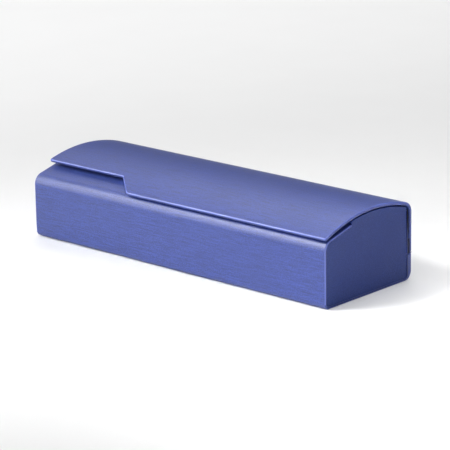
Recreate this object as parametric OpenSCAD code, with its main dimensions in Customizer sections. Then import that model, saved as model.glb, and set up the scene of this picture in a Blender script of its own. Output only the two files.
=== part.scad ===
// Slim flap-lid case for folded eyeglasses.
// X runs along the case, the front face looks along -Y and +Z is up.
// The origin is the middle of the footprint, on the surface that the case rests on.

/* [Overall size] */
// Length of the case
case_length = 160; // [130:1:200]
// Depth of the case, from the front face to the back of the lid's skirt
case_depth = 53; // [44:0.5:66]
// Height at which the front face and the sloping lip would meet without the shoulder
corner_height = 26.3; // [21:0.1:32]

/* [Sloping lip] */
// Slope of the lip that the lid closes over, in degrees
lip_slope = 14.6; // [10:0.1:17.6]
// Depth of the lip, from the front face to the mouth of the tray
lip_depth = 16.2; // [12:0.1:20]
// Outer radius of the shoulder between the front face and the lip
shoulder_r = 4.6; // [2.5:0.1:6]

/* [Bottom edges] */
// Outer radius of the bottom edge at the front
front_bottom_r = 2.3; // [1.6:0.1:4]
// Outer radius of the bottom edge at the back
back_bottom_r = 3.8; // [2.5:0.1:5]
// Outer radius of the core's fold between the bottom and the back wall
fold_r = 2; // [1.2:0.1:3]

/* [Sheets] */
// Thickness of the leatherette
cover_t = 0.5; // [0.3:0.05:0.6]
// Thickness of the sheet-steel cores
core_t = 0.4; // [0.3:0.05:0.5]
// Thickness of the soft lining
lining_t = 0.5; // [0.3:0.05:0.7]
// Thickness of the foam on the bottom
pad_t = 1.5; // [1:0.1:2.5]
// Thickness of the end panels
panel_t = 1.5; // [1:0.1:2.5]
// Width of the hems where the leatherette is turned in
hem_w = 4; // [2:0.5:6]
// Outer radius of the lining's bottom corners
lining_corner_r = 2; // [1:0.1:4]

/* [End panels] */
// How far the covered end panels sit back from the ends of the wrap
end_recess = 0.2; // [0:0.05:0.6]
// Margin between the top of an end lining and the wrapped crest
end_lining_margin = 1; // [0.5:0.1:3]

/* [Lid] */
// Height of the lid's outer face above the lip's corner height, at the front face
lid_lift = 2; // [1.9:0.1:3]
// How much higher the lid's curve is at the back than at the front
lid_rise = 2.75; // [1:0.05:5]
// Outer radius of the lid's curve
lid_r = 69; // [57:1:90]
// Outer radius of the corner between the lid's curve and its skirt
lid_corner_r = 4.5; // [3.5:0.1:6]
// Distance of the lid's front edge behind the front face
lid_setback = 0.1; // [0:0.1:2]
// Gap between the lid's underside and the crest of the end panels
crest_gap = 0.5; // [0.3:0.05:0.8]
// Gap between the lid's skirt and the covered back wall
wall_gap = 0.9; // [0.7:0.1:1.5]

/* [Lid notch] */
// Length of the notch along the lid's front edge, from the left end
notch_length = 43.5; // [20:0.5:60]
// Depth of the notch
notch_depth = 9; // [4:0.5:12]
// Angle between the notch's slanting side and the length of the case, in degrees
notch_angle = 40; // [30:1:60]
// Radius of the lid's outer corner at the notch
notch_r = 3.5; // [1:0.5:5]

/* [Lid magnets] */
// Diameter of each disc magnet
magnet_d = 8; // [6:0.5:10]
// Thickness of each disc magnet
magnet_t = 0.7; // [0.5:0.1:0.9]
// Distance between the two magnets
magnet_spacing = 50; // [20:1:70]
// Distance of the magnets behind the front face
magnet_inset = 8.5; // [7:0.5:10]
// Thickness of the glue between a magnet and the lid's core
glue_t = 0.05; // [0.05:0.05:0.1]

/* [Hinge] */
// Height of the fold line on the back
hinge_height = 10.9; // [8:0.1:13.2]
// Height of the slot between the lower back and the lid's skirt, which the hinge strip closes
hinge_gap = 0.35; // [0.3:0.05:0.6]
// How far the skirt stands proud of the lower back
skirt_step = 0.25; // [0.1:0.05:0.5]
// Width of the outer hinge strip, front to back
hinge_strip_w = 0.8; // [0.5:0.1:1]
// Thickness of the hinge's inner lining
hinge_lining_t = 0.25; // [0.15:0.05:0.3]
// Height of the glued leaves of the hinge's inner lining
hinge_leaf_h = 6; // [4:0.5:10]

/* [Hidden] */
$fn = 96;
// Flats in each small bend, and in the lid's whole curve
bend_flats = 10;
curve_flats = 64;

LEATHERETTE = [0.33, 0.38, 0.66];
END_BLUE = [0.25, 0.29, 0.49];
LINING = [0.20, 0.22, 0.35];
STEEL = [0.70, 0.71, 0.73];
BOARD = [0.62, 0.58, 0.52];
FOAM = [0.85, 0.85, 0.83];
PANEL = [0.16, 0.17, 0.22];

// Sheets that lie on each other
wall_t = cover_t + core_t;
lid_t = wall_t + lining_t;

// Stations along Y
front_y = -case_depth / 2;
back_y = case_depth / 2;
low_back_y = back_y - skirt_step;
skirt_in_y = back_y - lid_t;
wall_back_y = skirt_in_y - wall_gap;
wall_out_y = wall_back_y - cover_t;
wall_in_y = wall_out_y - core_t;
mouth_y = front_y + lip_depth;

// Stations along Z, and a height above everything
floor_z = wall_t + pad_t;
skirt_z = hinge_height + hinge_gap;
sky_z = corner_height + case_depth;

// Stations along X
end_x = case_length / 2;
panel_out_x = end_x - end_recess - cover_t;
panel_in_x = panel_out_x - panel_t;

// The lid's curve passes through these two heights, over the front and over the back face
lid_front_z = corner_height + lid_lift;
lid_back_z = lid_front_z + lid_rise;
lid_chord = norm([case_depth, lid_rise]);
lid_drop = sqrt(pow(lid_r, 2) - pow(lid_chord / 2, 2));
lid_c = [0, (lid_front_z + lid_back_z) / 2] + lid_drop / lid_chord * [lid_rise, -case_depth];

// Centre of the lid's back corner, and where that corner runs into the curve
corner_y = back_y - lid_corner_r;
corner_c = [corner_y, lid_c[1] + sqrt(pow(lid_r - lid_corner_r, 2) - pow(corner_y - lid_c[0], 2))];
corner_a = atan2(corner_c[1] - lid_c[1], corner_c[0] - lid_c[0]);
front_a = 140;

// The back wall's rim stays one gap below the inside of the lid's corner
rim_r = lid_corner_r - lid_t - crest_gap;
rim_z = corner_c[1] + sqrt(max(0, pow(rim_r, 2) - pow(max(0, wall_back_y - corner_y), 2)));

// The magnets are glued against the curve of the lid's core
magnet_y = front_y + magnet_inset;
magnet_r_in = sqrt(pow(lid_r - wall_t, 2) - pow(magnet_d / 2, 2)) - glue_t;
magnet_a = acos((magnet_y - lid_c[0]) / magnet_r_in);
magnet_mid_x = (notch_length + notch_depth / tan(notch_angle)) / 2;

// Point at radius r and angle a about c
function at(c, r, a) = c + r * [cos(a), sin(a)];

// Points of a bend of radius r about c, from angle a to b, without those before the first
function bend(c, r, a, b, flats = bend_flats, first = 0) =
  [for (i = [first:flats]) at(c, r, a + (b - a) * i / flats)];

// Height of the lip's face d below its outer face
function lip_z(y, d) = corner_height + (y - front_y) * tan(lip_slope) - d / cos(lip_slope);

// Extrudes a (Y, Z) profile from x0 to x1
module along_x(x0, x1) {
  translate([x0, 0, 0])
    rotate([90, 0, 90])
      linear_extrude(x1 - x0)
        children();
}

// Both ends of a profile, from x0 to x1 and mirrored
module both_ends(x0, x1) {
  along_x(x0, x1) children();
  along_x(-x1, -x0) children();
}

// Rectangle from one corner to the other
module area(low, high) {
  translate(low) square(high - low);
}

// Inside of the tray: d in from the outer face at the front, down to bottom_z, back to rear_y,
// with rounded bottom corners, and open upwards behind open_y
module room(d, bottom_z, rear_y, front_r, rear_r, open_y) {
  shoulder_c = [front_y + shoulder_r, lip_z(front_y + shoulder_r, shoulder_r)];
  front_c = [front_y + d + front_r, bottom_z + front_r];
  rear_c = [rear_y - rear_r, bottom_z + rear_r];
  polygon(concat(
    [[open_y, sky_z], [open_y, lip_z(open_y, d)]],
    bend(shoulder_c, shoulder_r - d, 90 + lip_slope, 180),
    bend(front_c, front_r, 180, 270),
    bend(rear_c, rear_r, 270, 360),
    [[rear_y, sky_z]]
  ));
}

module outer_room() {
  room(0, 0, low_back_y, front_bottom_r, back_bottom_r, mouth_y);
}

module under_cover_room() {
  room(cover_t, cover_t, low_back_y - cover_t, front_bottom_r - cover_t, back_bottom_r - cover_t, mouth_y);
}

module core_outer_room() {
  room(cover_t, cover_t, wall_out_y, front_bottom_r - cover_t, fold_r, mouth_y - cover_t);
}

module core_inner_room(open_y) {
  room(wall_t, wall_t, wall_in_y, front_bottom_r - wall_t, fold_r - core_t, open_y);
}

module lining_room(d) {
  room(wall_t + d, floor_z + d, wall_in_y - d, lining_corner_r - d, lining_corner_r - d, mouth_y);
}

// Everything below the lid's outer face, d in from it
module under_lid(d) {
  polygon(concat(
    [[back_y - d, -sky_z]],
    bend(corner_c, lid_corner_r - d, 0, corner_a),
    bend(lid_c, lid_r - d, corner_a, front_a, curve_flats, 1),
    [[front_y - lid_r, -sky_z]]
  ));
}

module core_profile() {
  difference() {
    core_outer_room();
    core_inner_room(mouth_y - cover_t);
    area([mouth_y, rim_z - cover_t], [back_y, 2 * sky_z]);
  }
}

// Starts behind the core's fold, where the board has some thickness
module board_profile() {
  low_y = max(low_back_y - back_bottom_r, wall_out_y - fold_r * cos(45));
  intersection() {
    difference() {
      under_cover_room();
      core_outer_room();
    }
    area([low_y, 0], [back_y, hinge_height - cover_t]);
  }
}

// ---- body ----

module body_core() {
  color(STEEL) along_x(-end_x + cover_t, end_x - cover_t) core_profile();
}

// Wrapped wall of the tray up to the hinge, with or without the hem under the lip
module wrap_profile(with_hem) {
  difference() {
    outer_room();
    difference() {
      core_inner_room(mouth_y);
      if (with_hem)
        difference() {
          area([mouth_y - hem_w, hinge_height], [mouth_y, sky_z]);
          room(wall_t + cover_t, floor_z, wall_in_y, lining_corner_r, lining_corner_r, mouth_y);
        }
    }
    area([mouth_y, hinge_height], [back_y, 2 * sky_z]);
  }
}

module body_cover() {
  color(LEATHERETTE) {
    along_x(-panel_in_x, panel_in_x) difference() {
      wrap_profile(true);
      core_profile();
      board_profile();
    }
    both_ends(panel_in_x, end_x - cover_t) difference() {
      wrap_profile(false);
      core_profile();
      board_profile();
    }
    // turned in over the ends of the core and of the board
    both_ends(end_x - cover_t, end_x) wrap_profile(false);
  }
}

module lower_back_board() {
  color(BOARD) along_x(-end_x + cover_t, end_x - cover_t) board_profile();
}

// Leatherette down the back of the upper wall and over its rim, as far in as rim_in_y
module back_wrap_profile(rim_in_y) {
  area([wall_out_y, hinge_height], [wall_back_y, rim_z]);
  area([rim_in_y, rim_z - cover_t], [wall_back_y, rim_z]);
}

module back_cover() {
  color(LEATHERETTE) {
    // with a hem inside the tray
    along_x(-panel_in_x, panel_in_x) {
      back_wrap_profile(wall_in_y - cover_t);
      area([wall_in_y - cover_t, rim_z - hem_w], [wall_in_y, rim_z]);
    }
    both_ends(panel_in_x, end_x - cover_t) back_wrap_profile(wall_in_y);
    // turned in over the ends of the core
    both_ends(end_x - cover_t, end_x) area([wall_in_y, hinge_height], [wall_back_y, rim_z]);
  }
}

// Side outline of an end panel: it fills the core, and its crest follows the lid g + crest_gap below it
module panel_profile(open_y, g) {
  intersection() {
    core_inner_room(open_y);
    under_lid(lid_t + crest_gap + g);
    area([front_y, 0], [back_y, sky_z]);
  }
}

module end_panel(x0, x1) {
  color(PANEL) along_x(x0, x1) panel_profile(mouth_y + cover_t, cover_t);
}

module end_panel_left() {
  end_panel(-panel_out_x, -panel_in_x);
}

module end_panel_right() {
  end_panel(panel_in_x, panel_out_x);
}

// Strip of leatherette over the front step and the crest of an end panel
module crest_wrap_profile() {
  step_y = mouth_y + cover_t;
  step_z = lip_z(step_y, wall_t);
  difference() {
    intersection() {
      under_lid(lid_t + crest_gap);
      polygon([
        [mouth_y, lip_z(mouth_y, wall_t)],
        [step_y, step_z],
        [wall_in_y, step_z],
        [wall_in_y, sky_z],
        [mouth_y, sky_z]
      ]);
    }
    intersection() {
      under_lid(lid_t + crest_gap + cover_t);
      area([step_y, 0], [back_y, sky_z]);
    }
  }
}

// Leatherette on the outside of an end panel, wrapped over its crest
module end_cover() {
  color(END_BLUE) {
    along_x(panel_out_x, panel_out_x + cover_t) panel_profile(mouth_y, 0);
    along_x(panel_in_x, panel_out_x) crest_wrap_profile();
  }
}

module end_cover_left() {
  mirror([1, 0, 0]) end_cover();
}

module end_cover_right() {
  end_cover();
}

module bottom_pad() {
  color(FOAM) along_x(-panel_in_x, panel_in_x)
    area([front_y + front_bottom_r, wall_t], [wall_out_y - fold_r, floor_z]);
}

module tray_lining() {
  color(LINING) along_x(-panel_in_x, panel_in_x) difference() {
    lining_room(0);
    lining_room(lining_t);
    area([mouth_y - hem_w, hinge_height], [mouth_y, 2 * sky_z]);
    area([mouth_y, rim_z - hem_w], [back_y, 2 * sky_z]);
  }
}

module end_lining(x0, x1) {
  sheet_t = max(lining_t, cover_t);
  color(LINING) along_x(x0, x1) intersection() {
    room(wall_t + sheet_t, floor_z + lining_t, wall_in_y - sheet_t,
      lining_corner_r - lining_t, lining_corner_r - lining_t, mouth_y + cover_t);
    under_lid(lid_t + crest_gap + cover_t + end_lining_margin);
    area([front_y, 0], [back_y, sky_z]);
  }
}

module end_lining_left() {
  end_lining(-panel_in_x, -panel_in_x + lining_t);
}

module end_lining_right() {
  end_lining(panel_in_x - lining_t, panel_in_x);
}

// ---- lid ----

// Plan of the lid, d in from its front edge, its ends and the notch
module lid_plan(d) {
  edge_y = front_y + lid_setback;
  notch_x = -end_x + notch_length;
  r = max(0, notch_r - d);
  e = d + r;
  tip_c = [notch_x + (e + (notch_depth - e) * cos(notch_angle)) / sin(notch_angle), edge_y + e];
  polygon(concat(
    [[-end_x + d, back_y + lid_t], [-end_x + d, edge_y + notch_depth + d]],
    [[notch_x + d * (1 - cos(notch_angle)) / sin(notch_angle), edge_y + notch_depth + d]],
    r > 0 ? bend(tip_c, r, 270 - notch_angle, 270) : [tip_c],
    [[end_x - d, edge_y + d], [end_x - d, back_y + lid_t]]
  ));
}

// Layer of the lid between depths d0 and d1, with its edges inset
module lid_layer(d0, d1, inset) {
  intersection() {
    along_x(-end_x, end_x) difference() {
      intersection() {
        under_lid(d0);
        area([front_y, skirt_z + inset], [back_y, sky_z]);
      }
      under_lid(d1);
    }
    linear_extrude(sky_z) lid_plan(inset);
  }
}

// Places children at a magnet: z = 0 is its face against the core, +Z points out through the lid
module at_magnet(side) {
  translate([magnet_mid_x + side * magnet_spacing / 2, lid_c[0], lid_c[1]])
    rotate([magnet_a - 90, 0, 0])
      translate([0, 0, magnet_r_in])
        children();
}

module lid_core() {
  color(STEEL) lid_layer(cover_t, wall_t, cover_t);
}

// Rim of a layer of the lid, as wide as the inset
module lid_rim(d0, d1, inset) {
  difference() {
    lid_layer(d0, d1, 0);
    lid_layer(d0, d1, inset);
  }
}

// Turned round the edges of the core, with a hem on the inside
module lid_cover() {
  color(LEATHERETTE) {
    lid_layer(0, cover_t, 0);
    lid_rim(cover_t, wall_t, cover_t);
    lid_rim(wall_t, lid_t, hem_w);
  }
}

module lid_lining() {
  pocket_h = magnet_t + lining_t;
  color(LINING) difference() {
    union() {
      lid_layer(wall_t, lid_t, hem_w);
      for (side = [-1, 1])
        at_magnet(side) translate([0, 0, -pocket_h]) cylinder(d = magnet_d + 2 * lining_t, h = pocket_h);
    }
    for (side = [-1, 1])
      at_magnet(side) translate([0, 0, -magnet_t]) cylinder(d = magnet_d, h = 2 * magnet_t);
  }
}

module lid_magnet(side) {
  color(STEEL) at_magnet(side) translate([0, 0, -magnet_t]) cylinder(d = magnet_d, h = magnet_t);
}

module lid_magnet_left() {
  lid_magnet(-1);
}

module lid_magnet_right() {
  lid_magnet(1);
}

// ---- hinge ----

module hinge_cover() {
  color(LEATHERETTE) along_x(-end_x, end_x)
    area([low_back_y - hinge_strip_w, hinge_height], [low_back_y, skirt_z]);
}

module hinge_lining() {
  leaf_z = hinge_height + hinge_leaf_h;
  t = hinge_lining_t;
  color(LINING) along_x(-end_x, end_x) difference() {
    area([wall_back_y, hinge_height], [skirt_in_y, leaf_z]);
    area([wall_back_y + t, hinge_height + t], [skirt_in_y - t, 2 * leaf_z]);
  }
}

body_core();
body_cover();
lower_back_board();
back_cover();
end_panel_left();
end_panel_right();
end_cover_left();
end_cover_right();
bottom_pad();
tray_lining();
end_lining_left();
end_lining_right();
lid_core();
lid_cover();
lid_lining();
lid_magnet_left();
lid_magnet_right();
hinge_cover();
hinge_lining();
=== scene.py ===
import math

import bmesh
import bpy
import numpy as np
from mathutils import Matrix, Vector, geometry, noise


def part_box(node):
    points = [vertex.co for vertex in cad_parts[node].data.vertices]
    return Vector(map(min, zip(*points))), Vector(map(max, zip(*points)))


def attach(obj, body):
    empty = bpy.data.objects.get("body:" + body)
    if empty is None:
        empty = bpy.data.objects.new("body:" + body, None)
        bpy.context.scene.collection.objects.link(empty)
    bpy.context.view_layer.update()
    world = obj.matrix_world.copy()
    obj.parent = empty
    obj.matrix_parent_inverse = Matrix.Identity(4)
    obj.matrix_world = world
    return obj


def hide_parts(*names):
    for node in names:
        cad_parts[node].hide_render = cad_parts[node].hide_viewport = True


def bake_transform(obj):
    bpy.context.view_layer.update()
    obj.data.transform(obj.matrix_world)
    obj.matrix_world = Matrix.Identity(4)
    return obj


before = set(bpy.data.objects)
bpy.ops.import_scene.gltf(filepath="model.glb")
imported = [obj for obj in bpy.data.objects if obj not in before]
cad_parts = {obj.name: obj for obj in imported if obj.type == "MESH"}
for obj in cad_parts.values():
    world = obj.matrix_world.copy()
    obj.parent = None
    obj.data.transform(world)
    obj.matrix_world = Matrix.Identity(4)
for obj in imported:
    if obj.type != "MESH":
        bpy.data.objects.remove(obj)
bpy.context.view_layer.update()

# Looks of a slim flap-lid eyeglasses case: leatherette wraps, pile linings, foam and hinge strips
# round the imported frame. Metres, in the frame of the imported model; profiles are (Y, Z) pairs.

# ---- sheets ----
COVER_T = 0.0005
CORE_T = 0.0004
LINING_T = 0.0005
WALL_T = COVER_T + CORE_T
LID_T = WALL_T + LINING_T
SLOT = 0.00002
SKIN_T = COVER_T - SLOT
HEM_W = 0.004
SINK = 0.00003
END_SINK = 0.00004
PANEL_PLAY = 0.00005

# ---- edges of the sheets, and steps of their meshes ----
SOFT_R = 0.0003
UNDER_R = 0.00005
SKIN_CORNER_R = 0.0006
HEM_CORNER_R = 0.0004
CLOTH_CORNER_R = 0.0005
CLOTH_BORDER = 0.0008
X_STEP = 0.004
PROFILE_STEP = 0.003
HEM_STEP = 0.001
FACE_STEP = 0.0025
FACE_TOP_Z = 0.034

# ---- profile of the body and of the lid ----
LIP_SLOPE = math.radians(14.6)
LIP_DEPTH = 0.0162
SHOULDER_R = 0.0046
FRONT_BOTTOM_R = 0.0023
BACK_BOTTOM_R = 0.0038
FOLD_R = 0.002
LINING_CORNER_R = 0.002
LID_R = 0.069
LID_RISE = 0.00275
LID_CORNER_R = 0.0045
CREST_GAP = 0.0005
NOTCH_LENGTH = 0.0435
NOTCH_DEPTH = 0.009
NOTCH_ANGLE = math.radians(40)
NOTCH_R = 0.0035

# ---- places read from the frame ----
END_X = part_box("body_cover")[1].x
LOW_BACK_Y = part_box("body_cover")[1].y
FRONT_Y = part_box("body_cover")[0].y
MOUTH_Y = FRONT_Y + LIP_DEPTH
CORNER_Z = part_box("body_cover")[1].z - LIP_DEPTH * math.tan(LIP_SLOPE)
PANEL_IN_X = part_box("end_panel_right")[0].x
END_COVER_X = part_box("end_cover_right")[1].x
WALL_IN_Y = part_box("end_cover_right")[1].y
WALL_BACK_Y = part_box("back_cover")[1].y
HINGE_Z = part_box("back_cover")[0].z
RIM_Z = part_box("back_cover")[1].z
FLOOR_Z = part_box("bottom_pad")[1].z
BACK_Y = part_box("lid_cover")[1].y
EDGE_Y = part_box("lid_cover")[0].y
SKIRT_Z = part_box("lid_cover")[0].z

case_depth = BACK_Y - FRONT_Y
chord = math.hypot(case_depth, LID_RISE)
drop = math.sqrt(LID_R ** 2 - (chord / 2) ** 2)
LID_C = Vector((LID_RISE * drop / chord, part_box("lid_cover")[1].z - LID_R))
CORNER_Y = BACK_Y - LID_CORNER_R
corner_rise = math.sqrt((LID_R - LID_CORNER_R) ** 2 - (CORNER_Y - LID_C.x) ** 2)
CORNER_C = Vector((CORNER_Y, LID_C.y + corner_rise))
CORNER_A = math.atan2(corner_rise, CORNER_Y - LID_C.x)


def lip_z(y, depth=0.0):
    """Height of the lip's face at y, depth below its outer face."""
    return CORNER_Z + (y - FRONT_Y) * math.tan(LIP_SLOPE) - depth / math.cos(LIP_SLOPE)


def smooth(t):
    """0 below 0, 1 above 1 and a soft step between."""
    t = min(1.0, max(0.0, t))
    return t * t * (3 - 2 * t)


# ---- profiles ----

class Line:
    """Straight part of a profile."""

    def __init__(self, start, end):
        self.start = Vector(start)
        self.end = Vector(end)
        self.length = (self.end - self.start).length

    def at(self, share):
        """Point at this share of the length, and the direction out of the visible face."""
        along = (self.end - self.start).normalized()
        return self.start.lerp(self.end, share), Vector((along.y, -along.x))


class Arc:
    """Round part of a profile, between two angles."""

    def __init__(self, centre, radius, start, end):
        self.centre = Vector(centre)
        self.radius = radius
        self.start = start
        self.end = end
        self.length = abs(radius * (end - start))

    def at(self, share):
        """Point and direction, as for a line."""
        angle = self.start + (self.end - self.start) * share
        out = Vector((math.cos(angle), math.sin(angle)))
        face = out if self.end > self.start else -out
        return self.centre + out * self.radius, face


class Track:
    """The visible line of a sheet in the (Y, Z) plane, and the line that its hidden side follows.

    The visible face is on the right of the direction of travel.
    """

    def __init__(self, parts, depth, hidden=None):
        self.parts = parts
        self.depth = depth
        self.hidden = hidden
        self.starts = [0.0]
        for part in parts:
            self.starts.append(self.starts[-1] + part.length)
        self.length = self.starts[-1]

    def at(self, s):
        """Point, inward direction and full thickness at length s."""
        k = 0
        while k < len(self.parts) - 1 and s > self.starts[k + 1]:
            k += 1
        share = (s - self.starts[k]) / self.parts[k].length
        point, face = self.parts[k].at(share)
        if self.hidden is None:
            return point, -face, self.depth
        inner = self.hidden[k].at(share)[0] - point
        return point, inner.normalized(), inner.length

    def stations(self, step, angle=math.radians(7)):
        """Lengths along the track, close together on its arcs, with every part's own ends."""
        found = [0.0]
        for part, start in zip(self.parts, self.starts):
            turn = abs(part.end - part.start) if isinstance(part, Arc) else 0
            count = max(1, math.ceil(part.length / step), math.ceil(turn / angle))
            found += [start + part.length * (i + 1) / count for i in range(count)]
        return found


def spaced(low, high, step):
    """Even stations from low to high, about a step apart."""
    count = max(1, round((high - low) / step))
    return [low + (high - low) * i / count for i in range(count + 1)]


# ---- outlines and sheets ----

def left_of(a, b):
    """Unit vector to the left of the way from a to b."""
    along = (b - a).normalized()
    return Vector((-along.y, along.x))


def ring(corners, inset, us, vs, bends=5):
    """Points round a counter-clockwise outline of (u, v, radius) corners, moved in by inset.

    There are as many points for every inset. Edges along u or v have a point at each station, and
    long slanted edges are cut into equal spans.
    """
    slant_spans = 6
    short_edge = 0.002
    straight = 0.999
    apart = 1e-6
    count = len(corners)
    base = [Vector(c[:2]) for c in corners]
    arcs = []
    for k in range(count):
        before = left_of(base[k - 1], base[k])
        after = left_of(base[k], base[(k + 1) % count])
        mitre = (before + after) / (1 + before.dot(after))
        turn = before.angle_signed(after)
        radius = corners[k][2]
        if radius == 0:
            arcs.append([base[k] + mitre * inset])
            continue
        convex = turn < 0
        shrunk = max(0.0, radius - inset) if convex else radius + inset
        centre = base[k] + mitre * (inset + shrunk if convex else -radius)
        side = -1 if convex else 1
        points = []
        for i in range(bends + 1):
            normal = before.copy()
            normal.rotate(Matrix.Rotation(-turn * i / bends, 2))
            points.append(centre + side * shrunk * normal)
        arcs.append(points)
    found = []
    for k in range(count):
        found += arcs[k]
        a, b = arcs[k][-1], arcs[(k + 1) % count][0]
        start, end = base[k], base[(k + 1) % count]
        along = (end - start).normalized()
        axis = 0 if abs(along.x) > straight else 1 if abs(along.y) > straight else None
        if axis is None:
            spans = slant_spans if (end - start).length > short_edge else 1
            marks = [start.lerp(end, i / spans) for i in range(1, spans)]
        else:
            low, high = sorted((start[axis], end[axis]))
            inside = [m for m in (us, vs)[axis] if low + apart < m < high - apart]
            if along[axis] < 0:
                inside = inside[::-1]
            marks = [Vector((m, start.y)) if axis == 0 else Vector((start.x, m)) for m in inside]
        room = (b - a).dot(along)
        for mark in marks:
            reach = min(max((mark - a).dot(along), 0.0), max(room, 0.0))
            found.append(a + along * reach)
    return found


def oblong(low_u, high_u, low_v, high_v, radius):
    """Corners of a rectangular outline."""
    sides = ((low_u, low_v), (high_u, low_v), (high_u, high_v), (low_u, high_v))
    return [(u, v, radius) for u, v in sides]


def inner_grid(outline, us, vs, margin):
    """Crossings of the stations that lie inside the outline, margin or more from it."""
    points = np.array([(u, v) for u in us for v in vs])
    inside = np.zeros(len(points), bool)
    near = np.full(len(points), 1e9)
    for a, b in zip(outline, outline[1:] + outline[:1]):
        a, b = np.array(a), np.array(b)
        side = b - a
        size = side @ side
        if size < 1e-16:
            continue
        crosses = (a[1] > points[:, 1]) != (b[1] > points[:, 1])
        if a[1] != b[1]:
            at = a[0] + (points[:, 1] - a[1]) * side[0] / side[1]
            inside ^= crosses & (points[:, 0] < at)
        share = np.clip((points - a) @ side / size, 0, 1)
        near = np.minimum(near, np.linalg.norm(points - a - share[:, None] * side, axis=1))
    return [Vector(p) for p in points[inside & (near > margin)]]


def fill(bm, outline, verts, us, vs, put, margin=0.00025):
    """Fills a ring with faces on the crossings of the stations."""
    grid = inner_grid(outline, us, vs, margin)
    edges = [(i, (i + 1) % len(outline)) for i in range(len(outline))]
    made = geometry.delaunay_2d_cdt(outline + grid, edges, [], 1, 1e-8)
    known = []
    for point, sources in zip(made[0], made[3]):
        if sources and sources[0] < len(outline):
            known.append(verts[sources[0]])
        else:
            known.append(bm.verts.new(put(point)))
    faces = []
    for face in made[2]:
        corners = [known[i] for i in face]
        if len(set(corners)) == 3 and bm.faces.get(corners) is None:
            faces.append(bm.faces.new(corners))
    return faces


def rounding(radius, steps=5, share=lambda u, v: 1.0):
    """Layers that turn the visible face over into the side of the edge.

    The lighter edge, partly wear and partly painted highlight, is greatest in the middle of the turn,
    times the share at that place.
    """
    layers = []
    for i in range(steps + 1):
        angle = math.pi / 2 * i / steps
        inset = radius * (1 - math.sin(angle))
        depth = radius * (1 - math.cos(angle))
        layers.append((inset, depth, lambda u, v, a=angle: math.sin(2 * a) * share(u, v)))
    return layers


def under_rounding(radius, thickness, steps=3):
    """Layers that turn the side of the edge into the hidden face."""
    angles = [math.pi / 2 * i / steps for i in range(steps + 1)]
    return [(radius * (1 - math.cos(a)), thickness - radius * (1 - math.sin(a)), 0.0) for a in angles]


def cloth_layers(thickness):
    """Layers of a cloth with a soft edge on both of its faces."""
    return [(CLOTH_BORDER, 0.0, 0.0)] + rounding(SOFT_R, 4) + under_rounding(UNDER_R, thickness)


def sheet_object(name, place, corners, layers, us, vs):
    """A closed sheet. Layers of (inset, depth, edge tone) run from its visible face to its hidden
    one.

    A depth or an edge tone (wear with painted light) may be a function of (u, v). Place turns (u, v,
    depth) into a point.
    """
    bm = bmesh.new()
    # Edge tone per vertex: above 0 a lighter edge of wear and painted highlight, below 0 near black
    # painted shade.
    wear_and_painted_light = bm.verts.layers.float.new("wear_and_painted_light")
    rings = []
    for inset, depth, wear_and_light in layers:
        outline = ring(corners, inset, us, vs)
        verts = []
        for u, v in outline:
            verts.append(bm.verts.new(place(u, v, depth(u, v) if callable(depth) else depth)))
            verts[-1][wear_and_painted_light] = wear_and_light(u, v) if callable(wear_and_light) else wear_and_light
        rings.append((outline, verts))
    for (_, a), (_, b) in zip(rings, rings[1:]):
        for i in range(len(a)):
            j = (i + 1) % len(a)
            bm.faces.new((a[i], a[j], b[j], b[i]))
    for (outline, verts), layer in ((rings[0], layers[0]), (rings[-1], layers[-1])):
        depth = layer[1]
        fill(bm, outline, verts, us, vs,
             lambda p, d=depth: place(p.x, p.y, d(p.x, p.y) if callable(d) else d))
    bmesh.ops.remove_doubles(bm, verts=bm.verts, dist=2e-7)
    bmesh.ops.dissolve_degenerate(bm, dist=1e-7, edges=bm.edges)
    bmesh.ops.recalc_face_normals(bm, faces=bm.faces)
    return mesh_object(name, bm)


def mesh_object(name, bm):
    """Turns a bmesh into a smooth object, with sharp edges where it bends more than 42 degrees."""
    mesh = bpy.data.meshes.new(name)
    bm.to_mesh(mesh)
    bm.free()
    mesh.polygons.foreach_set("use_smooth", [True] * len(mesh.polygons))
    mesh.set_sharp_from_angle(angle=math.radians(42))
    piece = bpy.data.objects.new(name, mesh)
    bpy.context.scene.collection.objects.link(piece)
    flat = piece.modifiers.new("flat_faces", "WEIGHTED_NORMAL")
    flat.keep_sharp = True
    return piece


def strip_object(name, low_x, high_x, spans, profile):
    """A closed strip along X. Its profile runs along the visible side and back on the hidden one."""
    bm = bmesh.new()
    bm.verts.layers.float.new("wear_and_painted_light")
    rings = []
    for i in range(spans + 1):
        x = low_x + (high_x - low_x) * i / spans
        rings.append([bm.verts.new((x, y, z)) for y, z in profile])
    size = len(profile)
    for a, b in zip(rings, rings[1:]):
        for k in range(size):
            bm.faces.new((a[k], a[(k + 1) % size], b[(k + 1) % size], b[k]))
    for loop in (rings[0], rings[-1]):
        for k in range(size // 2 - 1):
            bm.faces.new((loop[k], loop[k + 1], loop[size - 2 - k], loop[size - 1 - k]))
    bmesh.ops.recalc_face_normals(bm, faces=bm.faces)
    strip = mesh_object(name, bm)
    strip.modifiers.clear()
    return strip


def on_track(track, sink=None):
    """Places (x, s, depth) on a track. Sink moves the visible face in, and leaves the hidden one."""
    def place(x, s, depth):
        """A point that lies depth below the visible face."""
        point, inward, _ = track.at(s)
        if sink:
            depth += sink(x, s) * max(0.0, 1 - depth / COVER_T)
        found = point + inward * depth
        return Vector((x, found.x, found.y))
    return place


def ripple(x, s, size, length, seed):
    """Slow waves of a skin that is glued over sheet metal."""
    return size * noise.noise(Vector((x / length, s / length * 1.6, seed)))


# ---- materials ----

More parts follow.
